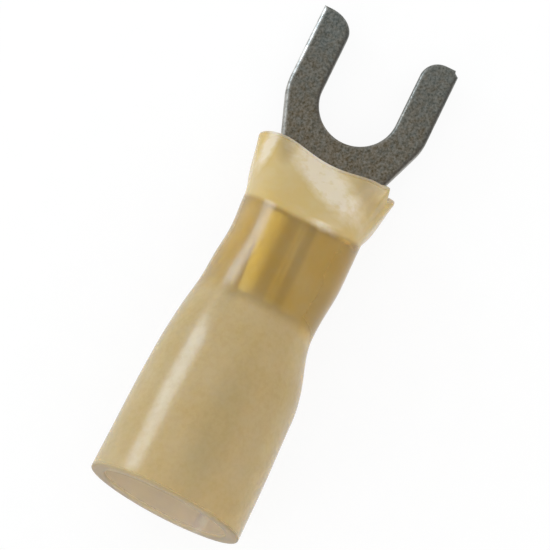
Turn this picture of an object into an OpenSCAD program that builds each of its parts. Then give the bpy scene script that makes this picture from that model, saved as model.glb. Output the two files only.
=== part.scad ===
// Heat-shrink fork terminal: a stamped and rolled fork with its wire barrel, inside a translucent
// sleeve that is shrunk onto the barrel and the root of the fork and left open for the wire.
// The stud's centre on the underside of the fork is the origin. The tines point along +X, the wire
// comes in from -X, and the barrel's seam is on top, along +Z. All sizes are in millimetres.

/* [Fork] */
// Thickness of the tinned copper strip
stock = 1.0; // [0.8:0.05:1.2]
// Width of the slot that takes the stud
slot_w = 5.1; // [4.3:0.1:5.3]
// Width over the two tines
fork_w = 9.55; // [9.0:0.05:11.0]
// Reach of the tines past the stud's centre
tine_reach = 4.85; // [4.0:0.05:6.0]
// Radius of the lead-in on the inner corner of each tine
lead_in_r = 1.25; // [0.6:0.05:1.6]
// Distance from the stud's centre back to where the fork begins to narrow
shoulder_back = 0.1; // [0:0.1:0.6]
// Radius that blends the side of the fork into the neck
shoulder_r = 3.5; // [2.5:0.1:5.0]
// Angle of each side of the neck to the axis
neck_taper = 20; // [15:1:24]
// Width of the neck where it meets the trough
neck_w = 5.2; // [4.4:0.1:5.6]

/* [Wire barrel] */
// Bore of the barrel, for the stripped wire
barrel_bore = 3.5; // [3.2:0.1:3.8]
// Length of the barrel
barrel_len = 6.0; // [5.0:0.1:7.0]
// Distance from the stud's centre back to the front edge of the barrel
barrel_back = 9.05; // [8.8:0.05:10.0]
// Length over which the flat neck curls up into the barrel
trough_len = 2.6; // [2.0:0.1:3.2]
// Fillet where the neck spreads into the barrel
neck_fillet = 0.8; // [0.4:0.1:1.0]
// Gap of the butted seam
seam_gap = 0.14; // [0.08:0.02:0.24]
// Bevel of the sheared edges along the seam
seam_bevel = 0.22; // [0.1:0.02:0.3]
// Chamfer that leads the wire into the bore
wire_chamfer = 0.3; // [0.1:0.05:0.4]

/* [Sleeve] */
// Distance from the stud's centre back to the front lip of the sleeve
lip_back = 4.4; // [4.2:0.1:5.0]
// Length of the sleeve
sleeve_len = 24.2; // [22.0:0.1:27.0]
// Outside diameter at the open mouth
mouth_od = 10.2; // [9.4:0.1:11.0]
// Wall at the open mouth
mouth_wall = 0.9; // [0.7:0.05:1.1]
// Wall where the sleeve is shrunk onto the metal
shrunk_wall = 1.15; // [0.9:0.05:1.3]
// Height of the lip's opening over the strip's own thickness
lip_slack = 0.7; // [0.4:0.1:1.0]
// Angle at which each side of the unshrunk tube widens towards the mouth
flare_angle = 1.6; // [0.5:0.1:2.5]
// Distance behind the barrel's front edge where the sleeve lets go of the metal, on the loose side
loose_start = 2.4; // [1.5:0.1:4.0]
// Distance behind the barrel's front edge where the sleeve lets go of the metal, on the tight side
tight_start = 6.0; // [5.0:0.1:7.0]
// Length over which the loose side widens
loose_run = 8.2; // [6.0:0.1:9.5]
// Length over which the tight side widens
tight_run = 5.4; // [4.0:0.1:6.5]
// Depth of the pinch behind the barrel, on the tight side
pinch = 0.22; // [0:0.02:0.3]
// Angle of both cut ends of the sleeve from square
cut_angle = 1.5; // [0:0.5:4]
// Waviness of the front lip
lip_wave = 0.3; // [0:0.05:0.4]
// Clearance between the sleeve and the metal
fit_gap = 0.05; // [0.03:0.01:0.1]

/* [Hidden] */

$fn = 96;
past = 1;

// Radii and heights of the barrel: the fork's underside is level with the barrel's lowest line.
bore_r = barrel_bore / 2;
barrel_r = bore_r + stock;
strip_r = bore_r + stock / 2;
axis_z = barrel_r;

// Where the shoulder's arc ends and the neck's straight side begins.
shoulder_turn_x = shoulder_back + shoulder_r * sin(neck_taper);
shoulder_turn_y = fork_w / 2 - shoulder_r * (1 - cos(neck_taper));

// Half the width of the flat strip at a distance behind the stud, without the fillet at the barrel.
function neck_half(back) =
    max(neck_w / 2, shoulder_turn_y - (back - shoulder_turn_x) * tan(neck_taper));

// The fork's flat seat ends just in front of the sleeve. Behind it the strip is drawn a little thinner
// on each face, stays flat up to the trough and then curls up.
seat_back = lip_back - lip_wave - 0.25;
trough_back = barrel_back - trough_len;
drawn_thinner = 0.02;
neck_steps = 10;
strip_steps = 14;
// The neck runs this far into the fork's flat at one end and into the barrel's wall at the other.
weld_depth = 0.4;

// Sections and turns of the sleeve's skin. Each ring has a flat at the bottom, so that it lies still.
turns = 56;
ring_angles = [for (j = [0 : turns - 1]) 360 * (j + 0.5) / turns];
lip_steps = 11;
waist_steps = 18;
tube_steps = 3;
// Half the length of the bend where the sleeve drops off the barrel's front edge.
ridge_soft = 0.3;
// How much sooner the sleeve flattens under the neck than over it.
hug = 3;
// Squareness of the lip's oval inside and outside, where 2 is an ellipse.
lip_square_in = 5;
lip_square_out = 3;
mouth_back = lip_back + sleeve_len;
tube_back = barrel_back + max(tight_start + tight_run, loose_start + loose_run) + 0.3;
waist_r = barrel_r + fit_gap;
mouth_r = mouth_od / 2 - mouth_wall;
lip_half_w = neck_half(lip_back) + 2 * fit_gap;
lip_half_h = (stock + lip_slack) / 2;
// Length of the pinch, centred on the tight side's start.
pinch_run = 3.6;

function mix(a, b, t) = a * (1 - t) + b * t;
function clamp01(t) = min(1, max(0, t));
function ease(t) = let (c = clamp01(t)) c * c * (3 - 2 * c);
function facing(angle) = [cos(angle), sin(angle)];

// Skins a list of rings with the same number of points. A closed skin joins the last ring to the
// first, and an open one is capped at both ends by a ladder across the ring.
module skin(rings, closed = false) {
    n = len(rings[0]);
    m = len(rings);
    points = [for (ring = rings) each ring];
    sides = [
        for (i = [0 : closed ? m - 1 : m - 2], j = [0 : n - 1])
            let (a = i * n + j, b = i * n + (j + 1) % n, k = ((i + 1) % m) * n)
                each [[a, b, k + (j + 1) % n], [a, k + (j + 1) % n, k + j]]
    ];
    far = (m - 1) * n;
    caps = closed ? [] : [
        for (j = [0 : n / 2 - 2])
            let (a = j, b = j + 1, c = n - 2 - j, d = n - 1 - j)
                each [[a, c, b], [a, d, c], [far + a, far + b, far + c], [far + a, far + c, far + d]]
    ];
    polyhedron(points, concat(sides, caps));
}

// Half the developed width of the strip in the trough, with the fillet into the barrel.
function strip_half(back) =
    let (d = min(neck_fillet, max(0, barrel_back - back)))
        neck_half(back) + neck_fillet - sqrt(neck_fillet ^ 2 - (neck_fillet - d) ^ 2);

// Curvature of the strip's middle: flat in the neck, and the barrel's own at the barrel.
function curl(back) = ease((back - trough_back) / trough_len) / strip_r;

// A point of the bent strip, from its developed place across the strip and its height off the middle.
function bent(across, off, back) =
    let (k = curl(back))
        k < 1e-4
            ? [across, stock / 2 + off]
            : let (r = 1 / k - off, turn = across * k * 180 / PI)
                [r * sin(turn), stock / 2 + 1 / k - r * cos(turn)];

// The drawn strip's section as a ring of points, set at its own distance behind the stud or at another.
function strip_ring(back, at) =
    let (w = strip_half(back) - drawn_thinner, h = stock / 2 - drawn_thinner)
        [
            for (i = [0 : strip_steps]) [-at, each bent(mix(-w, w, i / strip_steps), -h, back)],
            for (i = [0 : strip_steps]) [-at, each bent(mix(w, -w, i / strip_steps), h, back)]
        ];

// Outline of the flat fork: one side by an arc at the shoulder, and its mirror image.
module fork_outline() {
    arc_steps = 8;
    arc = [
        for (i = [0 : arc_steps])
            let (turn = neck_taper * i / arc_steps)
                [-shoulder_back - shoulder_r * sin(turn), fork_w / 2 - shoulder_r * (1 - cos(turn))]
    ];
    half = concat([[tine_reach, fork_w / 2]], arc, [[-seat_back, neck_half(seat_back)]]);
    mirrored = [for (i = [len(half) - 1 : -1 : 0]) [half[i][0], -half[i][1]]];
    polygon(concat(half, mirrored));
}

// Waste that the lead-in takes off the inner corner of one tine.
module lead_in_waste() {
    translate([tine_reach - lead_in_r, slot_w / 2])
        difference() {
            translate([0, -past]) square([lead_in_r + past, lead_in_r + past]);
            translate([0, lead_in_r]) circle(r = lead_in_r);
        }
}

// The flat fork, with the round-bottomed slot for the stud.
module fork() {
    linear_extrude(stock)
        difference() {
            fork_outline();
            circle(d = slot_w);
            translate([0, -slot_w / 2]) square([tine_reach + past, slot_w]);
            lead_in_waste();
            mirror([0, 1]) lead_in_waste();
        }
}

// The neck, flat behind the fork's seat and then curling up into the barrel's lower wall.
module neck() {
    rings = [
        strip_ring(seat_back, seat_back - weld_depth),
        strip_ring(seat_back, seat_back),
        for (i = [0 : neck_steps])
            let (back = mix(trough_back, barrel_back, i / neck_steps)) strip_ring(back, back),
        strip_ring(barrel_back, barrel_back + weld_depth)
    ];
    skin(rings);
}

// The rolled barrel: a bored cylinder with a lead-in for the wire and the bevelled seam on top.
module barrel() {
    translate([-barrel_back, 0, axis_z])
        rotate([0, -90, 0])
            difference() {
                cylinder(r = barrel_r, h = barrel_len);
                translate([0, 0, -past]) cylinder(r = bore_r, h = barrel_len + 2 * past);
                translate([0, 0, barrel_len - wire_chamfer])
                    cylinder(r1 = bore_r, r2 = bore_r + wire_chamfer + past, h = wire_chamfer + past);
                seam_waste();
            }
}

// The open seam, as a slot through the wall with a bevel along each sheared edge.
module seam_waste() {
    bevel_half = seam_gap / 2 + seam_bevel;
    translate([0, 0, -past])
        linear_extrude(barrel_len + 2 * past) {
            translate([bore_r / 2, -seam_gap / 2]) square([barrel_r, seam_gap]);
            polygon([
                [barrel_r - seam_bevel - seam_gap / 2, 0],
                [barrel_r + past, bevel_half + past],
                [barrel_r + past, -bevel_half - past]
            ]);
        }
}

module fork_and_barrel() {
    color("#7d7b75")
        union() {
            fork();
            neck();
            barrel();
        }
}

// How far a turn of the sleeve lies on the tight side, from 0 on the +Y side to 1 on the -Y side.
function tightness(angle) = (1 - cos(angle)) / 2;

// How far the sleeve has let go of the metal, from 0 on the barrel to 1 in the open tube.
function let_go(angle, back) =
    let (side = tightness(angle), start = barrel_back + mix(loose_start, tight_start, side))
        ease((back - start) / mix(loose_run, tight_run, side));

// An oval of the sleeve's front lip at one turn: a flattened ring that is squarer inside than outside.
function lip_oval(angle, half_w, half_h, squareness) =
    let (c = cos(angle), s = sin(angle), p = 2 / squareness)
        [half_w * sign(c) * abs(c) ^ p, half_h * sign(s) * abs(s) ^ p];

// Place of the sleeve's cut ends at one turn: both are cut at a slant, and the lip is wavy.
function slant(across) = -across * tan(cut_angle);
function lip_at(angle) =
    let (v = lip_oval(angle, 1, 1, lip_square_out)[0])
        lip_back + slant(v * (lip_half_w + shrunk_wall)) + lip_wave * (8 * v ^ 4 - 8 * v ^ 2 + 1);
function mouth_at(angle) = mouth_back + slant(mouth_od / 2 * cos(angle));

// How far the sleeve has gone from the barrel's round to the lip's oval: in a straight line over the
// top, and sooner underneath, where the neck is flat. The share of the way is 0 at the barrel.
function flattened(angle, share) =
    let (
        run = barrel_back - lip_back,
        s = share * run,
        drop = s < 2 * ridge_soft ? s ^ 2 / (4 * ridge_soft) : s - ridge_soft,
        over = drop / (run - ridge_soft),
        under = 1 - (1 - over) ^ hug
    ) mix(over, under, ease(-2 * sin(angle)));

// Radius of the inside of the sleeve behind the barrel's front edge.
function rear_inside_r(angle, back) =
    let (tube_r = mouth_r - (mouth_back - back) * tan(flare_angle))
        mix(waist_r, tube_r, let_go(angle, back));

// Wall of the sleeve: shrunk thick on the metal, thinned by the pinch, and thin in the open tube.
function wall_at(angle, back) =
    let (
        from_pinch = (back - barrel_back - tight_start) / pinch_run,
        dip = abs(from_pinch) < 1 ? (1 - from_pinch ^ 2) ^ 2 : 0
    ) mix(shrunk_wall, mouth_wall, let_go(angle, back)) - pinch * tightness(angle) * dip;

// One point of the sleeve's skin, on its inside or its outside.
function front_point(angle, share, outside) =
    let (
        wall = outside ? shrunk_wall : 0,
        round_end = [0, axis_z] + (waist_r + wall) * facing(angle),
        squareness = outside ? lip_square_out : lip_square_in,
        oval = lip_oval(angle, lip_half_w + wall, lip_half_h + wall, squareness),
        flat_end = [0, stock / 2] + oval
    ) [-mix(barrel_back, lip_at(angle), share), each mix(round_end, flat_end, flattened(angle, share))];
function rear_point(angle, back, outside) =
    let (r = rear_inside_r(angle, back) + (outside ? wall_at(angle, back) : 0))
        [-back, each [0, axis_z] + r * facing(angle)];

// Rings of one side of the sleeve's wall, from the lip back to the mouth.
function sleeve_rings(outside) = [
    for (i = [lip_steps : -1 : 1])
        [for (angle = ring_angles) front_point(angle, (i / lip_steps) ^ 1.5, outside)],
    for (i = [0 : waist_steps])
        let (back = mix(barrel_back, tube_back, i / waist_steps))
            [for (angle = ring_angles) rear_point(angle, back, outside)],
    for (i = [1 : tube_steps])
        [
            for (angle = ring_angles)
                rear_point(angle, mix(tube_back, mouth_at(angle), i / tube_steps), outside)
        ]
];

module heat_shrink_sleeve() {
    outer = sleeve_rings(true);
    inner = sleeve_rings(false);
    color("#c9b26b")
        skin(concat(outer, [for (i = [len(inner) - 1 : -1 : 0]) inner[i]]), closed = true);
}

fork_and_barrel();
heat_shrink_sleeve();
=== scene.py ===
"""Looks of a heat-shrink fork terminal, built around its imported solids.

The terminal is modelled the way it is made. A flat blank of tinned copper is stamped, its edges take the
die's roll, and the blank is then curled into the wire barrel. The sleeve is a tube that shrinks from its
open mouth onto the barrel and flattens onto the root of the fork.
"""

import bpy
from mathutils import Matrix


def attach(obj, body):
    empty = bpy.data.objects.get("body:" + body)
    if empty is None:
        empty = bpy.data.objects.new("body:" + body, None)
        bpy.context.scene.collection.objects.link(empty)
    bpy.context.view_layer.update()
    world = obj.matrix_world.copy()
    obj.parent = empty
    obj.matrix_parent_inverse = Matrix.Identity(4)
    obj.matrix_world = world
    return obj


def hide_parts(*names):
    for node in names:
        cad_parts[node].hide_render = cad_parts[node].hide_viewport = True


bl_info = {
    "name": "Heat-shrink fork terminal",
    "version": (1, 0, 0),
    "blender": (4, 5, 0),
    "location": "View3D > Sidebar > Terminal",
    "description": "Builds a stamped fork terminal with its heat-shrunk sleeve and a small studio",
    "category": "Object",
}

import math

import bmesh
import bpy
import numpy as np
from bpy.props import FloatProperty, FloatVectorProperty, PointerProperty
from mathutils import Matrix, Vector

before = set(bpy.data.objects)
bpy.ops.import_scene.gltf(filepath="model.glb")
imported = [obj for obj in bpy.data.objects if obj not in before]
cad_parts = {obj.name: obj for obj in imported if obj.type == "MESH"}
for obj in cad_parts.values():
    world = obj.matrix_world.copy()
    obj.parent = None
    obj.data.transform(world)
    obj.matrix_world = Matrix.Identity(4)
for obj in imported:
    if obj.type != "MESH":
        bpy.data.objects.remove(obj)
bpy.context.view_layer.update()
MM = 0.001
# Points that draw an edge's roll, and the next point's place past it, as a share of the roll's radius.
ROLL_POINTS = 6
PAST_ROLL = 1.25
# Places of the share, the two colours and the result among a Mix node's sockets.
MIX_SHARE, MIX_A, MIX_B, MIX_OUT = 0, 6, 7, 2


def linear(hex_colour):
    """An sRGB hex colour as linear red, green and blue."""
    values = [int(hex_colour[i:i + 2], 16) / 255 for i in (1, 3, 5)]
    return [v / 12.92 if v <= 0.04045 else ((v + 0.055) / 1.055) ** 2.4 for v in values]


def length(name, mm, description):
    """A length property given in millimetres."""
    return FloatProperty(name=name, description=description, default=mm * MM, unit="LENGTH", precision=5)


def angle(name, degrees, description):
    """An angle property given in degrees."""
    return FloatProperty(name=name, description=description, default=math.radians(degrees), subtype="ANGLE")


def colour(name, hex_colour, description):
    """A colour property given as an sRGB hex value."""
    return FloatVectorProperty(
        name=name, description=description, default=linear(hex_colour), size=3, min=0, max=1,
        subtype="COLOR",
    )


class TerminalMetal(bpy.types.PropertyGroup):
    """Sizes and colours of the stamped fork and its barrel."""

    stock: length("Strip", 1.0, "Thickness of the tinned copper strip")
    slot_width: length("Slot", 5.1, "Width of the slot that takes the stud")
    fork_width: length("Fork", 9.55, "Width over the two tines")
    tine_reach: length("Tine reach", 4.85, "Reach of the tines past the stud's centre")
    lead_in: length("Lead-in", 1.25, "Radius on the inner corner of each tine")
    shoulder_back: length("Shoulder", 0.1, "Distance behind the stud where the fork begins to narrow")
    shoulder_radius: length("Shoulder radius", 3.5, "Radius that blends the fork into the neck")
    neck_taper: angle("Neck taper", 20, "Angle of each side of the neck to the axis")
    neck_width: length("Neck", 5.2, "Width of the neck where it meets the trough")
    barrel_bore: length("Bore", 3.5, "Bore of the wire barrel")
    barrel_length: length("Barrel", 6.0, "Length of the wire barrel")
    barrel_back: length("Barrel front", 9.05, "Distance behind the stud of the barrel's front edge")
    trough_length: length("Trough", 2.6, "Length over which the neck curls up into the barrel")
    neck_fillet: length("Neck fillet", 0.8, "Fillet where the neck spreads into the barrel")
    seam_gap: length("Seam", 0.012, "Gap of the butted seam where its edges touch")
    seam_off: length("Seam place", 0.2, "How far the seam lies off the middle, towards the tight side")
    tip_chip: length("Chipped corner", 0.3, "Size of the chip on the outer corner of the short tine")
    tip_long: length("Long tine", 0.15, "Extra reach of the other tine")
    long_lead_in: length("Long lead-in", 1.75, "Width of the rounded inner corner of the long tine")
    face_roll: length("Face roll", 0.28, "Radius that the die leaves on the fork's upper edges")
    under_roll: length("Under roll", 0.07, "Radius on the fork's lower edges")
    barrel_roll: length("Barrel roll", 0.06, "Radius on the barrel's outer edges at its ends")
    front_slope: length("Front slope", 0.4, "How far the barrel's front edge slopes back towards its seam")
    seam_roll: length("Seam roll", 0.45, "Width of the bend on the barrel's outer edges along its seam")
    seam_dip: length("Seam dip", 0.03, "Depth of the groove along the seam")
    grain_dark: colour("Dark grain", "#302e2c", "Dark grain of the matt tin")
    grain_light: colour("Light grain", "#868480", "Light grain of the matt tin")
    tint_cool: colour("Cool tint", "#576460", "Greenish tint of the tin")
    tint_warm: colour("Warm tint", "#665630", "Brownish tint of the tin")
    tarnish: colour("Tarnish", "#63594a", "Brown tarnish in patches")
    # The rolled edge colour is a painted highlight on the edges that face the loose side.
    painted_edge_highlight_colour: colour("Rolled edge", "#dcdbd7", "Burnished tin on the edges that the die rolled")
    # The sheared edge colour is painted shade on the edges that face the tight side.
    painted_edge_shade_colour: colour("Sheared edge", "#3f3c3a", "Dull tin on the edges that face the other way")
    curled_bright: colour("Curled barrel", "#bebbb4", "Tin that the curling tool has burnished")
    # The seam shade colour is painted shade in two stripes beside the seam.
    painted_seam_shade_colour: colour("Seam shade", "#979180", "Dull tin on both sides of the seam")


class TerminalSleeve(bpy.types.PropertyGroup):
    """Sizes and colours of the heat-shrunk sleeve."""

    lip_back: length("Lip", 4.4, "Distance behind the stud of the sleeve's front lip")
    sleeve_length: length("Length", 24.2, "Length of the sleeve")
    mouth_diameter: length("Mouth", 10.2, "Outside diameter at the open mouth")
    mouth_wall: length("Mouth wall", 0.9, "Wall at the open mouth")
    shrunk_wall: length("Shrunk wall", 1.15, "Wall where the sleeve is shrunk onto the metal")
    lip_slack: length("Lip slack", 0.7, "Height of the lip's opening over the strip's thickness")
    flare: angle("Flare", 1.6, "Angle at which the unshrunk tube widens")
    loose_start: length("Loose start", 2.4, "Where the loose side lets go, behind the barrel's front edge")
    tight_start: length("Tight start", 6.0, "Where the tight side lets go, behind the barrel's front edge")
    loose_run: length("Loose run", 8.2, "Length over which the loose side widens")
    tight_run: length("Tight run", 5.4, "Length over which the tight side widens")
    pinch: length("Pinch", 0.22, "Depth of the pinch behind the barrel, on the tight side")
    pinch_run: length("Pinch run", 3.6, "Half the length of the pinch")
    cut_slant: angle("Cut slant", 1.5, "Angle of both cut ends from square")
    lip_wave: length("Lip wave", 0.3, "Waviness of the front lip")
    fit_gap: length("Fit", 0.05, "Clearance between the lip and the metal")
    bond: length("Bond", 0.08, "Depth that the lining is drawn into the barrel, so that no air shows")
    lining_end: length("Lining end", 6.7, "Where the lining lets go, behind the barrel's front edge")
    ridge_soft: length("Ridge", 0.22, "Half the length of the bend over the barrel's front edge")
    ridge_fore: length("Ridge sides", 0.25, "How far the ridge runs forward on the sides of the barrel")
    lip_spread: length("Lip spread", 0.28, "Extra width of the lip on the loose side")
    lip_notch: length("Lip notch", 1.0, "Step in the lip's corner on the tight side")
    lip_round: length("Lip round", 0.24, "Rounding of the front lip's cut edge")
    mouth_round: length("Mouth round", 0.22, "Rounding of the mouth's cut edge")
    ripple: length("Ripple", 0.035, "Height of the slow ripples that shrinking leaves")
    loose_colour: colour("Loose tube", "#e0ca90", "Colour of the tube where it isn't shrunk")
    shrunk_colour: colour("Shrunk tube", "#e4bb4a", "Deeper colour where the tube is shrunk")
    front_colour: colour("Front", "#dcc076", "Milky colour between the barrel and the lip")
    resin_colour: colour("Resin", "#f5e100", "Colour that thick resin turns light to")
    lining_colour: colour("Lining", "#dacecb", "Paler hot-melt lining inside the tube")
    # The hollow colour is painted shade on the tube's top, standing in for the dark inside that shows
    # through.
    painted_inner_shade_colour: colour("Hollow", "#b3a777", "Greener colour where the dark inside shows through the tube")
    cut_colour: colour("Cut ends", "#c9b997", "Deeper colour where a cut end looks into the wall")
    clouded: colour("Clouding", "#e6dcc0", "Milky clouds in the tube")
    specked: colour("Specks", "#c4a660", "Fine specks of the extrusion")
    # The whitening colour is stress whitening with a painted highlight behind the lip, and a painted
    # reflection inside the mouth.
    whitening_and_highlight_colour: colour("Whitening", "#e6e3df", "Stress whitening along the crease behind the lip")


class TerminalStudio(bpy.types.PropertyGroup):
    """The floor, the lamps and the camera."""

    floor_size: length("Floor", 300, "Side of the square floor")
    floor_colour: colour("Floor colour", "#f4f4f2", "Matt white card")
    camera_distance: length("Camera", 356.9, "Distance of the camera from the part")
    camera_field: length("Field", 34.298, "Width of the picture at the part")
    camera_lean: angle("Lean", 11.893, "Lean of the view towards the wire's end")
    camera_side: angle("Side", 0.994, "Lean of the view towards the tight side")
    camera_roll: angle("Roll", 26.083, "Turn of the picture")
    aim_across: length("Aim across", 0.2943, "How far left of the part's middle the camera aims")
    aim_down: length("Aim down", 0.355, "How far below the part's middle the camera aims")


def mix(a, b, t):
    """From a to b."""
    return a + (b - a) * t


def ease(t):
    """A smooth step from 0 to 1."""
    t = np.clip(t, 0, 1)
    return t * t * (3 - 2 * t)


def arc_steps(radius, count):
    """Distances from an edge at which points round it off evenly, with one more just past the rounding."""
    turns = np.linspace(0, math.pi / 2, count)
    return np.append(radius * (1 - np.cos(turns)), radius * PAST_ROLL)


def add_node(tree, kind, inputs=None, **settings):
    """Adds a node, sets its settings, and sets or links its inputs."""
    made = tree.nodes.new(kind)
    for name, value in settings.items():
        setattr(made, name, value)
    for socket, value in (inputs or {}).items():
        if isinstance(value, bpy.types.NodeSocket):
            tree.links.new(value, made.inputs[socket])
        else:
            made.inputs[socket].default_value = value
    return made


def new_material(name):
    """An empty node material and its tree."""
    material = bpy.data.materials.new(name)
    material.use_nodes = True
    material.node_tree.nodes.clear()
    return material, material.node_tree


def scale_of(size_mm):
    """The scale of a noise whose features are about this many millimetres apart."""
    return 1 / (size_mm * MM)


def mesh_object(name, points, faces, material, layers):
    """A smooth mesh object from points and faces, with named values on its points."""
    mesh = bpy.data.meshes.new(name)
    mesh.from_pydata([tuple(p) for p in points], [], faces)
    for layer, values in layers.items():
        field = mesh.attributes.new(layer, "FLOAT", "POINT")
        field.data.foreach_set("value", np.asarray(values, np.float32))
    shape = bmesh.new()
    shape.from_mesh(mesh)
    bmesh.ops.recalc_face_normals(shape, faces=shape.faces)
    shape.to_mesh(mesh)
    shape.free()
    mesh.shade_smooth()
    mesh.materials.append(material)
    made = bpy.data.objects.new(name, mesh)
    bpy.context.scene.collection.objects.link(made)
    return made


# The stamped metal


class Blank:
    """The flat blank of the terminal: points behind and across the stud, joined by four-sided faces."""

    # How many points draw each stretch of the blank.
    band_count, lead_count, tine_count, side_count, cross_count = 7, 9, 22, 30, 25
    neck_count, fillet_count, barrel_count, wing_count, bend_count, seam_count = 40, 10, 22, 14, 6, 9
    # The share of a narrow tip that the roll may take from each side.
    most_rolled = 0.42
    # The turns round the slot between which the band carries the neck.
    neck_turns = math.radians(52), math.radians(128)
    # A bend of less than this, per metre, counts as flat.
    least_curl = 1e-3
    # How bright the painted highlight is on the long tine's outer edge at its root and tip, on the short
    # tine's edge, and on the other rims.
    bright_root, bright_tip, bright_short, bright_rim = 0.5, 1, 0.15, 0.3
    # How far from the seam the middles of the two stripes of painted shade lie, on the loose and the tight
    # side.
    stripe_loose, stripe_tight = 0.52 * MM, 0.42 * MM

    def __init__(self, sizes):
        self.sizes = sizes
        self.points = []
        self.faces = []
        self.strip_radius = sizes.barrel_bore / 2 + sizes.stock / 2
        self.barrel_half = math.pi * self.strip_radius - sizes.seam_gap / 2
        self.turn_back = sizes.shoulder_back + sizes.shoulder_radius * math.sin(sizes.neck_taper)
        self.turn_half = sizes.fork_width / 2 - sizes.shoulder_radius * (1 - math.cos(sizes.neck_taper))

    def row(self, points):
        """Adds a row of points and returns their numbers."""
        first = len(self.points)
        self.points.extend(points)
        return list(range(first, len(self.points)))

    def join(self, row_a, row_b):
        """Faces between two rows of the same length."""
        for i in range(len(row_a) - 1):
            self.faces.append((row_a[i], row_b[i], row_b[i + 1], row_a[i + 1]))

    def fork_half(self, back):
        """Half the width of the fork or the neck at a distance behind the stud."""
        s = self.sizes
        if back <= s.shoulder_back:
            return s.fork_width / 2
        if back <= self.turn_back:
            return s.fork_width / 2 - s.shoulder_radius + math.sqrt(
                s.shoulder_radius ** 2 - (back - s.shoulder_back) ** 2
            )
        return max(s.neck_width / 2, self.turn_half - (back - self.turn_back) * math.tan(s.neck_taper))

    def strip_half(self, back):
        """Half the developed width of the neck, with the fillet into the barrel."""
        s = self.sizes
        d = min(s.neck_fillet, max(0, s.barrel_back - back))
        spread = s.neck_fillet - math.sqrt(s.neck_fillet ** 2 - (s.neck_fillet - d) ** 2)
        return self.fork_half(back) + spread

    def across(self, inner, outer):
        """Points from the slot's edge to the outer edge, close together where the edges are rolled."""
        wide = math.dist(inner, outer)
        near = arc_steps(self.sizes.face_roll, ROLL_POINTS)
        near = near / max(wide, near[-1] / self.most_rolled)
        middle = np.linspace(near[-1], 1 - near[-1], self.band_count)[1:-1]
        shares = np.concatenate([near, middle, 1 - near[::-1]])
        return [(mix(inner[0], outer[0], t), mix(inner[1], outer[1], t)) for t in shares]

    def edge_shares(self, half):
        """Places across a strip from -1 to 1, close together where the edges are rolled."""
        near = arc_steps(self.sizes.face_roll, ROLL_POINTS) / half
        middle = np.linspace(-1 + near[-1], 1 - near[-1], self.cross_count)[1:-1]
        return np.concatenate([-1 + near, middle, 1 - near[::-1]])

    def draw(self, seat_back):
        """Draws the whole blank. The fork is a band round the slot, back to where the neck begins."""
        s = self.sizes
        slot_half = s.slot_width / 2
        tip_steps = np.concatenate([
            arc_steps(s.face_roll, ROLL_POINTS),
            np.linspace(s.face_roll * PAST_ROLL, s.lead_in, self.lead_count)[1:],
            np.linspace(s.lead_in, s.tine_reach, self.tine_count)[1:-1],
        ])

        # How far a rounded corner and a chip cut in, and where the longer tine lies, by the way from the tip.
        def rounded(radius, d):
            return radius - math.sqrt(radius ** 2 - max(0, radius - d) ** 2)

        def chipped(size, d):
            return math.sqrt(max(0, size ** 2 - d ** 2))

        def longer(d):
            return d - s.tine_reach - s.tip_long * (1 - d / s.tine_reach) ** 2

        wider = s.long_lead_in / s.lead_in
        inner_side = [(longer(d), slot_half + wider * rounded(s.lead_in, d)) for d in tip_steps]
        outer_side = [(back, s.fork_width / 2) for back, _ in inner_side]
        short_inner = [(d - s.tine_reach, -slot_half - rounded(s.lead_in, d)) for d in tip_steps]
        short_outer = [(d - s.tine_reach, chipped(s.tip_chip, d) - s.fork_width / 2) for d in tip_steps]
        cross = self.edge_shares(self.fork_half(seat_back))[::-1]
        side_backs = np.linspace(0, seat_back, self.side_count)
        fan_turns = np.concatenate([
            np.linspace(0, self.neck_turns[0], self.side_count),
            np.linspace(*self.neck_turns, len(cross))[1:-1],
            np.linspace(self.neck_turns[1], math.pi, self.side_count),
        ])
        fan_outer = [(b, self.fork_half(b)) for b in side_backs]
        fan_outer += [(seat_back, q * self.fork_half(seat_back)) for q in cross[1:-1]]
        fan_outer += [(b, -self.fork_half(b)) for b in side_backs[::-1]]
        fan_inner = [(slot_half * math.sin(t), slot_half * math.cos(t)) for t in fan_turns]
        inner = inner_side + fan_inner + short_inner[::-1]
        outer = outer_side + fan_outer + short_outer[::-1]
        rows = [self.row(self.across(a, b)) for a, b in zip(inner, outer)]
        for a, b in zip(rows, rows[1:]):
            self.join(a, b)
        first = len(inner_side) + self.side_count - 1
        seat = [r[-1] for r in rows[first:first + len(cross)]]
        self.draw_neck(seat, cross, seat_back)

    def draw_neck(self, row, shares, seat_back):
        """Carries on from the fork with the neck, and then with the wider blank of the barrel."""
        s = self.sizes
        fillet_turns = np.linspace(math.pi / 2, 0, self.fillet_count)
        fillet = s.barrel_back - s.neck_fillet * (1 - np.cos(fillet_turns))
        backs = np.concatenate([np.linspace(seat_back, fillet[0], self.neck_count)[1:-1], fillet])
        for back in backs:
            following = self.row([(back, q * self.strip_half(back)) for q in shares])
            self.join(row, following)
            row = following
        neck_half = self.strip_half(s.barrel_back)
        near = arc_steps(s.barrel_roll, ROLL_POINTS)
        seam = arc_steps(s.seam_roll, self.seam_count)
        left, right = (np.concatenate([
            np.linspace(neck_half, end - 2 * seam[-1], self.wing_count)[1:-1],
            np.linspace(end - 2 * seam[-1], end - seam[-1], self.bend_count)[:-1],
            end - seam[::-1],
        ]) for end in (self.barrel_half + s.seam_off, self.barrel_half - s.seam_off))

        def slope(v):
            return s.front_slope * ease((abs(v) - neck_half) / (self.barrel_half - neck_half))

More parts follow.
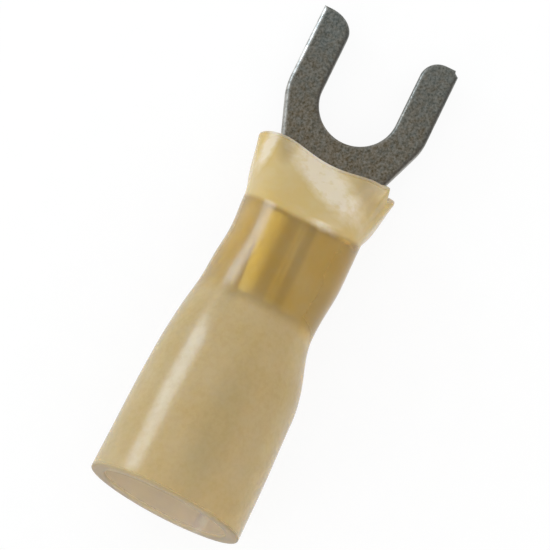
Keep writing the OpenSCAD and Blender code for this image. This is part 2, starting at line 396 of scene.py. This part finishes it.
        left = self.row([(s.barrel_back + slope(v), v) for v in left[::-1]])
        right = self.row([(s.barrel_back + slope(v), -v) for v in right])
        row = left + row + right
        places = [(self.points[i][1], slope(self.points[i][1]) / s.barrel_length) for i in row]
        ends = np.concatenate([
            near,
            np.linspace(near[-1], s.barrel_length - near[-1], self.barrel_count)[1:-1],
            s.barrel_length - near[::-1],
        ])
        for d in ends[1:]:
            following = self.row([(s.barrel_back + mix(d, s.barrel_length, cut), v) for v, cut in places])
            self.join(row, following)
            row = following

    def rim(self):
        """The edges that belong to one face only, as pairs of point numbers in the face's own sense."""
        seen = {}
        for face in self.faces:
            for a, b in zip(face, face[1:] + face[:1]):
                edge = min(a, b), max(a, b)
                seen[edge] = None if edge in seen else (a, b)
        return [edge for edge in seen.values() if edge]

    def edge_distance(self, rim):
        """How far each point lies from the nearest edge, and how far that edge faces the loose side."""
        points = np.array(self.points)
        a = points[[e[0] for e in rim]]
        b = points[[e[1] for e in rim]]
        run = b - a
        # An edge of no length must not divide by zero.
        span = np.maximum((run ** 2).sum(axis=1), 1e-18)
        outward = -run[:, 0] / np.sqrt(span)
        near, facing = np.empty(len(points)), np.empty(len(points))
        batch = 500
        for start in range(0, len(points), batch):
            some = slice(start, start + batch)
            part = points[some, None, :]
            t = np.clip(((part - a) * run).sum(axis=2) / span, 0, 1)
            gap = np.linalg.norm(part - (a + t[..., None] * run), axis=2)
            near[some] = gap.min(axis=1)
            facing[some] = outward[gap.argmin(axis=1)]
        return near, facing

    def curled(self, back):
        """0 on the flat fork and 1 where the strip is wholly curled."""
        s = self.sizes
        return ease((back - (s.barrel_back - s.trough_length)) / s.trough_length)

    def bent(self, back, across, off):
        """Places of the curled blank, from places on the flat one and heights off its middle."""
        s = self.sizes
        curl = self.curled(back) / self.strip_radius
        safe = np.maximum(curl, self.least_curl)
        radius = 1 / safe - off
        turn = across * safe
        flat = curl < self.least_curl
        y = np.where(flat, across, radius * np.sin(turn))
        z = np.where(flat, s.stock / 2 + off, s.stock / 2 + 1 / safe - radius * np.cos(turn))
        return np.stack([-back, y, z], axis=1)

    def solid(self):
        """The curled solid's points and faces, and values for the metal's finish at each point."""
        s = self.sizes
        rim = self.rim()
        near, facing = self.edge_distance(rim)
        back, across = np.array(self.points).T
        curled = self.curled(back)
        seam = np.where(back < s.barrel_back, 1, self.barrel_half - np.abs(across - s.seam_off))

        def drop(radius, distance):
            inside = np.clip(radius - distance, 0, radius)
            return radius - np.sqrt(radius ** 2 - inside ** 2)

        groove = s.seam_dip * np.clip(1 - seam / s.seam_roll, 0, 1) ** 2
        above = drop(mix(s.face_roll, s.barrel_roll, curled), near)
        below = np.maximum(drop(mix(s.under_roll, s.barrel_roll, curled), near), groove)
        upper = self.bent(back, across, s.stock / 2 - above)
        lower = self.bent(back, across, -s.stock / 2 + below)
        count = len(back)
        faces = list(self.faces)
        faces += [tuple(count + i for i in reversed(face)) for face in self.faces]
        faces += [(b, a, count + a, count + b) for a, b in rim]
        flat = 1 - curled
        loose, tight = np.clip(facing, 0, 1), np.clip(-facing, 0, 1)
        # Painted highlight on the edges that face the loose side, brightest on the long tine's outer edge
        # towards its tip. Edges that face the tight side get painted shade, with a thin painted highlight on
        # their rim. Beside the seam lie two stripes of painted shade.
        to_tip = ease((1.0 * MM - back) / (3.0 * MM))
        bright = np.where(across > 0, mix(self.bright_root, self.bright_tip, to_tip), self.bright_short)
        roll = near / s.face_roll
        shine, thin_rim = 1 - ease(roll - 0.15), 1 - ease(roll / 0.35)
        stripe = np.where(across > 0, self.stripe_loose, self.stripe_tight)
        half_stripe = 0.6 * (stripe - 0.05 * MM)
        layers = {
            "rolled": flat * (bright * loose * shine + self.bright_rim * tight * thin_rim),
            "painted_edge_shade": flat * tight * (1 - ease(roll / 1.3)) * ease(roll / 0.5),
            "curled": curled,
            "seam": ease(1.6 - np.abs(seam - stripe) / half_stripe),
        }
        points = np.concatenate([upper, lower])
        return points, faces, {name: np.tile(values, 2) for name, values in layers.items()}


def tin_plate(sizes):
    """Matt electroplated tin on stamped copper. It is dull and finely grained, with a faint green and brown
    mottle. Painted highlights brighten its edges that face the loose side, painted shade darkens the edges
    that face the tight side, and two stripes of painted shade lie beside the barrel's seam."""
    material, tree = new_material("matt_tin_plate_on_stamped_copper")
    place = add_node(tree, "ShaderNodeTexCoord").outputs["Object"]
    # The real grain is a few hundredths of a millimetre. It is drawn at 0.16 mm so that it shows. The mottle
    # is 0.45 mm wide, and handling leaves faint brown tarnish in patches 3 mm wide.
    grain, mottle, tarnish = (
        add_node(tree, "ShaderNodeTexNoise", {
            "Vector": place, "Scale": scale_of(size), "Detail": 2.0, "Roughness": crispness,
        }).outputs["Fac"]
        for size, crispness in ((0.16, 0.7), (0.45, 0.6), (3.0, 0.6))
    )
    # The heat that shrinks the sleeve browns the root of the fork more than its tines, by 0.06 a millimetre.
    along = add_node(tree, "ShaderNodeSeparateXYZ", {0: place}).outputs["X"]
    browned = add_node(tree, "ShaderNodeMath", {
        0: along, 1: -0.06 / MM, 2: mottle,
    }, operation="MULTIPLY_ADD").outputs[0]
    spread, patches, tarnished = (
        add_node(tree, "ShaderNodeMapRange", {
            "Value": value, "From Min": low, "From Max": high, "To Max": most,
        }).outputs["Result"]
        for value, low, high, most in (
            (grain, 0.3, 0.7, 1.0), (browned, 0.2, 0.8, 1.0), (tarnish, 0.42, 0.62, 0.12),
        )
    )
    tone, tint = (
        add_node(tree, "ShaderNodeMix", {
            MIX_SHARE: share, MIX_A: (*low, 1), MIX_B: (*high, 1),
        }, data_type="RGBA").outputs[MIX_OUT]
        for share, low, high in (
            (spread, sizes.grain_dark, sizes.grain_light), (patches, sizes.tint_cool, sizes.tint_warm),
        )
    )
    rolled, painted_edge_shade, curled, seam = (
        add_node(tree, "ShaderNodeAttribute", attribute_name=name).outputs["Fac"]
        for name in ("rolled", "painted_edge_shade", "curled", "seam")
    )
    ragged = add_node(tree, "ShaderNodeMapRange", {
        "Value": mottle, "From Min": 0.4, "From Max": 0.55, "To Min": 0.45,
    }).outputs["Result"]
    painted_edge_highlight = add_node(tree, "ShaderNodeMath", {0: rolled, 1: ragged}, operation="MULTIPLY").outputs[0]
    base = add_node(tree, "ShaderNodeMix", {
        MIX_SHARE: 0.4, MIX_A: tone, MIX_B: tint,
    }, data_type="RGBA").outputs[MIX_OUT]
    # These mixes paint highlight on the edges that face the loose side, and shade on the edges that face the
    # tight side and in two stripes beside the seam.
    for share, shade in (
        (tarnished, sizes.tarnish), (painted_edge_highlight, sizes.painted_edge_highlight_colour), (painted_edge_shade, sizes.painted_edge_shade_colour),
        (curled, sizes.curled_bright), (seam, sizes.painted_seam_shade_colour),
    ):
        base = add_node(tree, "ShaderNodeMix", {
            MIX_SHARE: share, MIX_A: base, MIX_B: (*shade, 1),
        }, data_type="RGBA").outputs[MIX_OUT]
    rough = add_node(tree, "ShaderNodeMapRange", {
        "Value": grain, "From Min": 0.3, "From Max": 0.7, "To Min": 0.5, "To Max": 0.38,
    }).outputs["Result"]
    rough = add_node(tree, "ShaderNodeMath", {
        0: curled, 1: -0.04, 2: rough,
    }, operation="MULTIPLY_ADD").outputs[0]
    bump = add_node(tree, "ShaderNodeBump", {
        "Strength": 0.35, "Distance": 0.012 * MM, "Height": grain,
    }).outputs["Normal"]
    shader = add_node(tree, "ShaderNodeBsdfPrincipled", {
        "Base Color": base, "Metallic": 1.0, "Roughness": rough, "Normal": bump,
    }).outputs["BSDF"]
    add_node(tree, "ShaderNodeOutputMaterial", {"Surface": shader})
    return material


# The shrunk sleeve


class SleeveShape:
    """The tube's skin, by the turn round its axis and the distance behind the stud."""

    # How square the lip is inside and outside. 2 is an ellipse.
    lip_square_in, lip_square_out = 5, 2.5
    # How much sooner the underside turns flat.
    hug = 3
    # Where the wave is lowest across the lip, and its depth between these places and at the two corners.
    wave_low = 0.707
    middle_wave, loose_wave, tight_wave = 0.8, 0.4, -1.2
    # Where the notch begins across the lip, and over what share.
    notch_from, notch_run = 0.86, 0.05
    # How far the ridge runs forward on the two sides, as shares.
    ridge_loose, ridge_tight = 0.6, 1.4
    # How tight the sleeve is where the lining begins to hold, and over what share.
    held_from, held_run = 0.12, 0.14
    # How many rings draw each stretch, and how closely the front ones crowd towards the ridge.
    front_rings, rear_rings, mouth_rings, rim_rings = 70, 90, 20, 11
    crowding = 1.25
    # Marks in millimetres, each by its middle, way, half length, half width and strength.
    # Pale marks behind the lip: stress whitening with a painted highlight.
    whitening_and_highlight_marks = (
        ((-5.85, -0.2), (-0.53, -0.848), 3.8, 1.3, 1.0),
        ((-5.0, 4.0), (1.0, 0.0), 2.4, 0.45, 0.8),
        ((-9.25, -1.35), (0.0, 1.0), 1.2, 0.35, 0.75),
    )
    # A pale mark inside the mouth: a painted reflection.
    painted_mouth_reflection_marks = (((-27.7, -2.5), (1.0, 0.0), 1.2, 0.35, 0.9),)
    # An oval of painted shade on the tube's top.
    painted_inner_shade_marks = (((-24.0, -0.9), (1.0, 0.0), 5.0, 1.3, 0.6),)
    pressed_marks = (
        ((-4.7, 3.0), (1.0, 0.3), 1.3, 0.6, 1.0),
        ((-5.2, -2.9), (0.8, 0.6), 1.6, 0.9, 1.0),
    )
    # A mark fades out at this many times its size.
    mark_fade = 1.35

    def __init__(self, sizes, metal):
        self.sizes = sizes
        blank = Blank(metal)
        self.barrel_back = metal.barrel_back
        self.front_slope = metal.front_slope
        self.stock = metal.stock
        self.axis = metal.barrel_bore / 2 + metal.stock
        self.mouth = sizes.mouth_diameter / 2 - sizes.mouth_wall
        self.mouth_back = sizes.lip_back + sizes.sleeve_length
        self.lip_half_wide = blank.fork_half(sizes.lip_back) + 2 * sizes.fit_gap
        self.lip_half_high = (metal.stock + sizes.lip_slack) / 2

    def oval(self, turn, half_wide, half_high, square):
        """A flattened ring that is squarer than an ellipse."""
        c, s = np.cos(turn), np.sin(turn)
        return (half_wide * np.sign(c) * np.abs(c) ** (2 / square),
                half_high * np.sign(s) * np.abs(s) ** (2 / square))

    def slant(self, across):
        """How far a cut end leans at a place across the tube."""
        return -across * math.tan(self.sizes.cut_slant)

    def lip_at(self, turn):
        """The wavy front lip's place behind the stud."""
        s = self.sizes
        v = self.oval(turn, 1, 1, self.lip_square_out)[0]
        wave = s.lip_wave * (8 * v ** 4 - 8 * v ** 2 + 1)
        # It dips less in the middle, its corners stay forward, and the tight one has a notch.
        corner = np.where(v > 0, self.loose_wave, self.tight_wave)
        low = np.where(np.abs(v) < self.wave_low, self.middle_wave, corner)
        notch = s.lip_notch * ease((-v - self.notch_from) / self.notch_run)
        wave = low * (wave + s.lip_wave) - s.lip_wave + notch
        return s.lip_back + self.slant(v * (self.lip_half_wide + s.shrunk_wall)) + wave

    def ridge_at(self, turn):
        """The ridge's place: along the barrel's front edge, and forward of it on the sides."""
        top = ease(np.arcsin(np.sin(turn)) / (math.pi / 2))
        sides = mix(self.ridge_loose, self.ridge_tight, self.tight(turn)) * self.sizes.ridge_fore
        return self.barrel_back + mix(-sides, self.front_slope, top)

    def mouth_at(self, turn):
        """The mouth's place behind the stud."""
        return self.mouth_back + self.slant(self.sizes.mouth_diameter / 2 * np.cos(turn))

    def tight(self, turn):
        """0 on the loose side and 1 on the tight side."""
        return (1 - np.cos(turn)) / 2

    def held(self, turn):
        """1 where the lining holds the barrel, and 0 on the loose side, where air gets between them."""
        return ease((self.tight(turn) - self.held_from) / self.held_run)

    def waist(self, turn, outside):
        """The radius on the barrel, without the wall."""
        gap = self.sizes.fit_gap
        return self.axis + (gap if outside else mix(gap, -self.sizes.bond, self.held(turn)))

    def let_go(self, turn, back, outside=True):
        """0 where the tube holds the barrel and 1 where it is open. The lining holds to the barrel's end."""
        s = self.sizes
        side = self.tight(turn)
        start = mix(s.loose_start, s.tight_start, side)
        end = start + mix(s.loose_run, s.tight_run, side)
        if not outside:
            start = s.lining_end * self.held(turn)
        return ease((back - self.barrel_back - start) / (end - start))

    def flattened(self, turn, share):
        """0 at the barrel's round and 1 at the lip's oval. The underside turns flat sooner, like the neck."""
        soft = self.sizes.ridge_soft
        run = self.barrel_back - self.sizes.lip_back
        way = share * run
        over = np.where(way < 2 * soft, way ** 2 / (4 * soft), way - soft) / (run - soft)
        under = 1 - (1 - over) ** self.hug
        return mix(over, under, ease(-2 * np.sin(turn)))

    def ripples(self, turn, back):
        """Slow ripples of the shrunk skin, from a few long waves."""
        b = back / MM
        waves = sum(
            high * np.sin(around * turn + along * b + start)
            for high, around, along, start in ((0.5, 2, 0.55, 0.7), (0.35, 3, -0.9, 2.1), (0.3, 5, 0.4, 4.0))
        )
        # The loose side is wavier where it holds the barrel.
        loose = (1 - self.tight(turn)) * (1 - self.let_go(turn, back))
        return self.sizes.ripple * (waves + 1.5 * np.sin(1.5 * b + 1.0) * loose)

    def front(self, turn, share, outside):
        """Points between the barrel's front edge and the lip."""
        s = self.sizes
        wall = s.shrunk_wall if outside else 0.0
        back = mix(self.ridge_at(turn), self.lip_at(turn), share)
        flat = self.flattened(turn, share)
        square = self.lip_square_out if outside else self.lip_square_in
        y, z = self.oval(turn, self.lip_half_wide + wall, self.lip_half_high + wall, square)
        y = y + s.lip_spread * ease(np.cos(turn))
        radius = self.waist(turn, outside) + wall + (self.ripples(turn, back) if outside else 0.0)
        return np.stack([
            -back, mix(radius * np.cos(turn), y, flat),
            mix(self.axis + radius * np.sin(turn), self.stock / 2 + z, flat),
        ], axis=1)

    def rear(self, turn, back, outside):
        """Points behind the barrel's front edge."""
        s = self.sizes
        free = self.let_go(turn, back, outside)
        tube = self.mouth - (self.mouth_back - back) * math.tan(s.flare)
        radius = mix(self.waist(turn, outside), tube, free)
        if outside:
            q = np.clip((back - self.barrel_back - s.tight_start) / s.pinch_run, -1, 1)
            radius = radius + mix(s.shrunk_wall, s.mouth_wall, free)
            radius = radius - s.pinch * self.tight(turn) * (1 - q ** 2) ** 2 + self.ripples(turn, back)
        return np.stack([-back, radius * np.cos(turn), self.axis + radius * np.sin(turn)], axis=1)

    def rings(self, turn, outside):
        """Rings of one side of the wall, from lip to mouth, short of the rounding of the cut ends."""
        s = self.sizes
        last = 1 - s.lip_round / (self.barrel_back - s.lip_back)
        shares = last * np.linspace(1, 0, self.front_rings)[:-1] ** self.crowding
        ridge, end = self.ridge_at(turn), self.mouth_at(turn) - s.mouth_round
        open_back = np.full_like(turn, self.barrel_back + s.loose_start + s.loose_run)
        backs = [mix(ridge, open_back, t) for t in np.linspace(0, 1, self.rear_rings)]
        backs += [mix(open_back, end, t) for t in np.linspace(0, 1, self.mouth_rings)[1:]]
        return [self.front(turn, share, outside) for share in shares] + [
            self.rear(turn, back, outside) for back in backs
        ]

    def rim(self, from_ring, to_ring, reach, way):
        """Rings that round off a cut end from one side of the wall to the other."""
        made = []
        for t in np.linspace(0, math.pi, self.rim_rings)[1:-1]:
            # The wall's flat cut lies between two quarter turns.
            side = (1 - np.sign(math.cos(t)) * abs(math.cos(t)) ** 0.5) / 2
            ring = mix(from_ring, to_ring, side)
            ring[:, 0] += way * reach * math.sin(t) ** 0.5
            made.append(ring)
        return made

    def skin(self, count):
        """All rings round the wall: outside, mouth, inside and lip."""
        turn = (np.arange(count) + 0.5) * 2 * math.pi / count
        outer = self.rings(turn, True)
        inner = self.rings(turn, False)[::-1]
        mouth = self.rim(outer[-1], inner[0], self.sizes.mouth_round, -1)
        lip = self.rim(inner[-1], outer[0], self.sizes.lip_round, 1)
        rings = np.array(outer + mouth + inner + lip)
        back = -rings[..., 0]
        parts = [len(outer), len(mouth), len(inner), len(lip)]

        def by_part(*values):
            """One value each for the outside, the mouth, the inside and the lip."""
            return np.repeat(values, parts)[:, None]

        # The deep colour ends behind the barrel and is weaker where air gets in on the loose side.
        on_barrel = ease((self.barrel_back + 7.0 * MM - back) / (1.4 * MM))
        close = mix(0.7, 1, ease(self.tight(turn) / 0.3))
        layers = {
            "shrunk": (1 - self.let_go(turn, back)) * on_barrel * close,
            "front": ease((self.ridge_at(turn) - back) / (0.4 * MM) + 0.5),
            "lining": by_part(0, 0.5, 1, 0.5) - by_part(0, 0.45, 0, 0) * np.sin(turn),
            "cut": by_part(0, 0.7, 0, 0.35) * np.ones(count),
            # The pale layer holds stress whitening with a painted highlight behind the lip and a painted
            # reflection inside the mouth, and the hollow layer holds a painted shade.
            "whitening_and_highlight": self.marks(rings, self.whitening_and_highlight_marks) + self.marks(rings, self.painted_mouth_reflection_marks, under=True),
            "painted_inner_shade": self.marks(rings, self.painted_inner_shade_marks),
            "pressed": self.marks(rings, self.pressed_marks),
        }
        return rings, layers

    def marks(self, rings, ovals, under=False):
        """Oval marks that fade out, on the upper or the under side of the sleeve."""
        made = np.zeros(rings.shape[:2])
        for middle, way, long, wide, most in ovals:
            place = rings[..., :2] / MM - middle
            run = place @ np.array(way) / math.hypot(*way)
            off = place @ np.array((-way[1], way[0])) / math.hypot(*way)
            made = np.maximum(made, most * np.clip(self.mark_fade - np.hypot(run / long, off / wide), 0, 1))
        # The sides part 0.4 mm above the fork's underside, and a mark fades over 0.5 mm.
        height = rings[..., 2] / MM - 0.4
        return made * ease((-height if under else height) / 0.5)


def shrink_tube(sizes):
    """Amber polyolefin, extruded and heat-shrunk. It is milky and lets the metal show through as a warm
    shade, its skin is softly glossy, and it is deeper in colour where it has shrunk thick. Its pale marks are
    stress whitening with painted highlights behind the lip and a painted reflection inside the mouth, and a
    painted shade lies on the tube's top."""
    material, tree = new_material("amber_polyolefin_heat_shrunk")
    place = add_node(tree, "ShaderNodeTexCoord").outputs["Object"]
    shrunk, front, lining, cut, white, pressed, painted_inner_shade = (
        add_node(tree, "ShaderNodeAttribute", attribute_name=name).outputs["Fac"]
        for name in ("shrunk", "front", "lining", "cut", "whitening_and_highlight", "pressed", "painted_inner_shade")
    )
    # Clouds of the melt are 3 mm across, wisps of whitening 0.7 mm and the extrusion's fine haze 0.35 mm.
    cloud, wisps, haze = (
        add_node(tree, "ShaderNodeTexNoise", {
            "Vector": place, "Scale": scale_of(size), "Detail": 3.0, "Roughness": 0.6,
        }).outputs["Fac"]
        for size in (3.0, 0.7, 0.35)
    )
    # Noise breaks up the pale marks, which are stress whitening with painted highlights and a painted
    # reflection, and the painted shade on the tube's top.
    uneven = add_node(tree, "ShaderNodeMath", {0: white, 1: wisps}, operation="MULTIPLY").outputs[0]
    shaded = add_node(tree, "ShaderNodeMath", {0: painted_inner_shade, 1: cloud}, operation="MULTIPLY").outputs[0]
    milk, specks, whitening_and_highlight = (
        add_node(tree, "ShaderNodeMapRange", {
            "Value": value, "From Min": low, "From Max": high, "To Max": most,
        }).outputs["Result"]
        for value, low, high, most in (
            (cloud, 0.4, 0.75, 0.35), (haze, 0.4, 0.65, 0.22), (uneven, 0.08, 0.42, 0.52),
        )
    )
    base = (*sizes.loose_colour, 1)
    for share, tone in (
        (specks, sizes.specked), (shrunk, sizes.shrunk_colour), (front, sizes.front_colour),
        (lining, sizes.lining_colour), (milk, sizes.clouded), (shaded, sizes.painted_inner_shade_colour),
        (cut, sizes.cut_colour), (whitening_and_highlight, sizes.whitening_and_highlight_colour),
    ):
        base = add_node(tree, "ShaderNodeMix", {
            MIX_SHARE: share, MIX_A: base, MIX_B: (*tone, 1),
        }, data_type="RGBA").outputs[MIX_OUT]
    # The loose tube is a little milky, the tube on the barrel is the clearest, and the lip is the cloudiest
    # except where it is pressed onto the fork's shoulders.
    clear = 0.62
    for share, change in ((shrunk, 0.18), (front, -0.4), (pressed, 0.2), (whitening_and_highlight, -0.35)):
        clear = add_node(tree, "ShaderNodeMath", {
            0: share, 1: change, 2: clear,
        }, operation="MULTIPLY_ADD", use_clamp=True).outputs[0]
    rough = add_node(tree, "ShaderNodeMapRange", {
        "Value": haze, "From Min": 0.3, "From Max": 0.7, "To Min": 0.2, "To Max": 0.26,
    }).outputs["Result"]
    rough = add_node(tree, "ShaderNodeMath", {0: cut, 1: 0.4, 2: rough}, operation="MULTIPLY_ADD").outputs[0]
    bump = add_node(tree, "ShaderNodeBump", {
        "Strength": 0.4, "Distance": 0.02 * MM, "Height": haze,
    }).outputs["Normal"]
    shader = add_node(tree, "ShaderNodeBsdfPrincipled", {
        "Base Color": base, "Roughness": rough, "Normal": bump, "IOR": 1.5, "Specular IOR Level": 0.4,
        "Transmission Weight": clear, "Subsurface Weight": 0.5,
        "Subsurface Radius": (1.0, 0.7, 0.3), "Subsurface Scale": 0.9 * MM,
    }).outputs["BSDF"]
    # The resin takes blue out of light on its way, so that thick edges look deeper than thin walls.
    amber = add_node(tree, "ShaderNodeVolumeAbsorption", {
        "Color": (*sizes.resin_colour, 1), "Density": 220.0,
    }).outputs["Volume"]
    add_node(tree, "ShaderNodeOutputMaterial", {"Surface": shader, "Volume": amber})
    return material


# The studio

MIDDLE = Vector((-11.9 * MM, 0, 2.0 * MM))
# How bright the surround is as a light, and how much of the card looks plain white.
SURROUND_STRENGTH = 0.92
PLAIN_SHARE = 0.9
# Each soft box by azimuth and elevation in degrees, width and height in metres, radiance and tint.
SOFT_BOXES = {
    "side_soft_box": (74, 20, 0.1, 0.125, 7.5, "#dceeff"),
    "front_soft_box": (-22, 10, 0.14, 0.09, 2.8, "#ffffff"),
    "back_soft_box": (150, 25, 0.08, 0.08, 6.0, "#ffffff"),
}
SOFT_BOX_DISTANCE = 0.3


def seen_directly(tree):
    """1 for the rays that show the background itself, in the picture, in a gloss or through the sleeve."""
    rays = add_node(tree, "ShaderNodeLightPath").outputs
    seen = rays["Is Camera Ray"]
    for kind in ("Is Glossy Ray", "Is Transmission Ray"):
        seen = add_node(tree, "ShaderNodeMath", {0: seen, 1: rays[kind]}, operation="MAXIMUM").outputs[0]
    return seen


def white_card(studio):
    """Matt white card. Seen directly it is mostly plain white, and the rest keeps the part's shadow."""
    material, tree = new_material("matt_white_card")
    place = add_node(tree, "ShaderNodeTexCoord").outputs["Object"]
    # Paper fibres are drawn at 2 mm.
    fibre = add_node(tree, "ShaderNodeTexNoise", {"Vector": place, "Scale": scale_of(2.0)}).outputs["Fac"]
    tone = add_node(tree, "ShaderNodeMix", {
        MIX_SHARE: fibre, MIX_A: (*studio.floor_colour, 1), MIX_B: (1, 1, 1, 1),
    }, data_type="RGBA").outputs[MIX_OUT]
    card = add_node(tree, "ShaderNodeBsdfDiffuse", {"Color": tone}).outputs[0]
    plain = add_node(tree, "ShaderNodeEmission", {"Color": (1, 1, 1, 1), "Strength": 1.0}).outputs[0]
    share = add_node(tree, "ShaderNodeMath", {
        0: seen_directly(tree), 1: PLAIN_SHARE,
    }, operation="MULTIPLY").outputs[0]
    both = add_node(tree, "ShaderNodeMixShader", {0: share, 1: card, 2: plain}).outputs[0]
    add_node(tree, "ShaderNodeOutputMaterial", {"Surface": both})
    return material


def white_surround():
    """A plain world that looks white and lights the part softly."""
    world = bpy.data.worlds.new("white_surround")
    world.use_nodes = True
    tree = world.node_tree
    tree.nodes.clear()
    level = add_node(tree, "ShaderNodeMapRange", {
        "Value": seen_directly(tree), "To Min": SURROUND_STRENGTH, "To Max": 1.0,
    }).outputs["Result"]
    back = add_node(tree, "ShaderNodeBackground", {"Color": (1, 1, 1, 1), "Strength": level}).outputs[0]
    add_node(tree, "ShaderNodeOutputWorld", {"Surface": back})
    return world


def soft_box(name, toward, wide, high, radiance, tint):
    """A rectangular soft box that faces the part, with its brightness given as radiance."""
    lamp = bpy.data.lights.new(name, "AREA")
    lamp.color = linear(tint)
    lamp.shape = "RECTANGLE"
    lamp.size, lamp.size_y = wide, high
    lamp.energy = radiance * wide * high * math.pi
    made = bpy.data.objects.new(name, lamp)
    way = Vector(toward).normalized()
    made.location = MIDDLE + way * SOFT_BOX_DISTANCE
    made.rotation_mode = "QUATERNION"
    made.rotation_quaternion = way.to_track_quat("Z", "Y")
    made.visible_camera = False
    bpy.context.scene.collection.objects.link(made)


def from_compass(azimuth, elevation):
    """A direction by its angle from the tines towards the loose side, and its height, in degrees."""
    a, e = math.radians(azimuth), math.radians(elevation)
    return math.cos(a) * math.cos(e), math.sin(a) * math.cos(e), math.sin(e)


class TERMINAL_OT_metal(bpy.types.Operator):
    """Build the stamped fork with its curled barrel"""

    bl_idname = "terminal.metal"
    bl_label = "Fork and barrel"

    def execute(self, context):
        sizes = context.scene.terminal_metal
        blank = Blank(sizes)
        blank.draw(seat_back=4.0 * MM)
        points, faces, layers = blank.solid()
        made = mesh_object("stamped_fork", points, faces, tin_plate(sizes), layers)
        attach(made, "root")
        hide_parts("fork_and_barrel")
        return {"FINISHED"}


class TERMINAL_OT_sleeve(bpy.types.Operator):
    """Build the heat-shrunk sleeve"""

    bl_idname = "terminal.sleeve"
    bl_label = "Heat-shrink sleeve"

    def execute(self, context):
        sizes = context.scene.terminal_sleeve
        shape = SleeveShape(sizes, context.scene.terminal_metal)
        rings, layers = shape.skin(count=200)
        count, around = rings.shape[:2]
        faces = []
        for i in range(count):
            a, b = i * around, (i + 1) % count * around
            for j in range(around):
                k = (j + 1) % around
                faces.append((a + j, a + k, b + k, b + j))
        made = mesh_object(
            "shrunk_sleeve", rings.reshape(-1, 3), faces, shrink_tube(sizes),
            {name: values.ravel() for name, values in layers.items()},
        )
        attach(made, "root")
        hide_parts("heat_shrink_sleeve")
        return {"FINISHED"}


class TERMINAL_OT_stage(bpy.types.Operator):
    """Build the floor, the lamps and the camera"""

    bl_idname = "terminal.stage"
    bl_label = "Studio"

    def execute(self, context):
        scene = context.scene
        studio = scene.terminal_studio
        self.lay_floor(studio)
        scene.world = white_surround()
        for name, (azimuth, elevation, *rest) in SOFT_BOXES.items():
            soft_box(name, from_compass(azimuth, elevation), *rest)
        self.place_camera(scene, studio)
        scene.view_settings.view_transform = "Standard"
        return {"FINISHED"}

    def lay_floor(self, studio):
        """A square floor that touches the two lines on which the sleeve rests."""
        skin = np.array([v.co for v in bpy.data.objects["shrunk_sleeve"].data.vertices])
        lip_ends, tube_begins = -6 * MM, -15 * MM
        lip = skin[skin[:, 0] > lip_ends]
        tube = skin[skin[:, 0] < tube_begins]
        front = lip[lip[:, 2].argmin()]
        slopes = (tube[:, 2] - front[2]) / (tube[:, 0] - front[0])
        tilt = -math.atan(slopes.max())
        half = studio.floor_size / 2
        mesh = bpy.data.meshes.new("floor")
        corners = [(-half, -half, 0), (half, -half, 0), (half, half, 0), (-half, half, 0)]
        mesh.from_pydata(corners, [], [(0, 1, 2, 3)])
        mesh.materials.append(white_card(studio))
        floor = bpy.data.objects.new("floor", mesh)
        floor.matrix_world = Matrix.Translation(Vector(front)) @ Matrix.Rotation(tilt, 4, "Y")
        bpy.context.scene.collection.objects.link(floor)

    def place_camera(self, scene, studio):
        """The photograph's view: nearly from above, leaning towards the wire's end and turned."""
        lean, side, roll = studio.camera_lean, studio.camera_side, studio.camera_roll
        back = Vector((
            -math.sin(lean), -math.sin(side) * math.cos(lean), math.cos(side) * math.cos(lean),
        ))
        up = Vector((1, 0, 0))
        up = (up - back * up.dot(back)).normalized()
        right = up.cross(back)
        across = right * math.cos(roll) + up * math.sin(roll)
        upright = up * math.cos(roll) - right * math.sin(roll)
        aim = MIDDLE - across * studio.aim_across - upright * studio.aim_down
        view = bpy.data.cameras.new("camera")
        view.sensor_width = 36
        view.lens = view.sensor_width * studio.camera_distance / studio.camera_field
        view.clip_start, view.clip_end = 10 * MM, 5.0
        camera = bpy.data.objects.new("camera", view)
        camera.matrix_world = Matrix.Translation(aim + back * studio.camera_distance) @ Matrix(
            (across, upright, back)
        ).transposed().to_4x4()
        scene.collection.objects.link(camera)
        scene.camera = camera


class TERMINAL_PT_build(bpy.types.Panel):
    """Lists the steps that build the terminal and its studio"""

    bl_idname = "TERMINAL_PT_build"
    bl_label = "Fork terminal"
    bl_space_type = "VIEW_3D"
    bl_region_type = "UI"
    bl_category = "Terminal"

    def draw(self, context):
        for step in STEPS:
            self.layout.operator(step.bl_idname)


SETTINGS = {
    "terminal_metal": TerminalMetal, "terminal_sleeve": TerminalSleeve, "terminal_studio": TerminalStudio,
}
STEPS = (TERMINAL_OT_metal, TERMINAL_OT_sleeve, TERMINAL_OT_stage)


def register():
    for kind in (*SETTINGS.values(), *STEPS, TERMINAL_PT_build):
        bpy.utils.register_class(kind)
    for name, kind in SETTINGS.items():
        setattr(bpy.types.Scene, name, PointerProperty(type=kind))


def unregister():
    for name in SETTINGS:
        delattr(bpy.types.Scene, name)
    for kind in reversed((*SETTINGS.values(), *STEPS, TERMINAL_PT_build)):
        bpy.utils.unregister_class(kind)


def main():
    """Builds the part and its studio."""
    register()
    bpy.ops.terminal.metal()
    bpy.ops.terminal.sleeve()
    bpy.ops.terminal.stage()


if __name__ == "__main__":
    main()
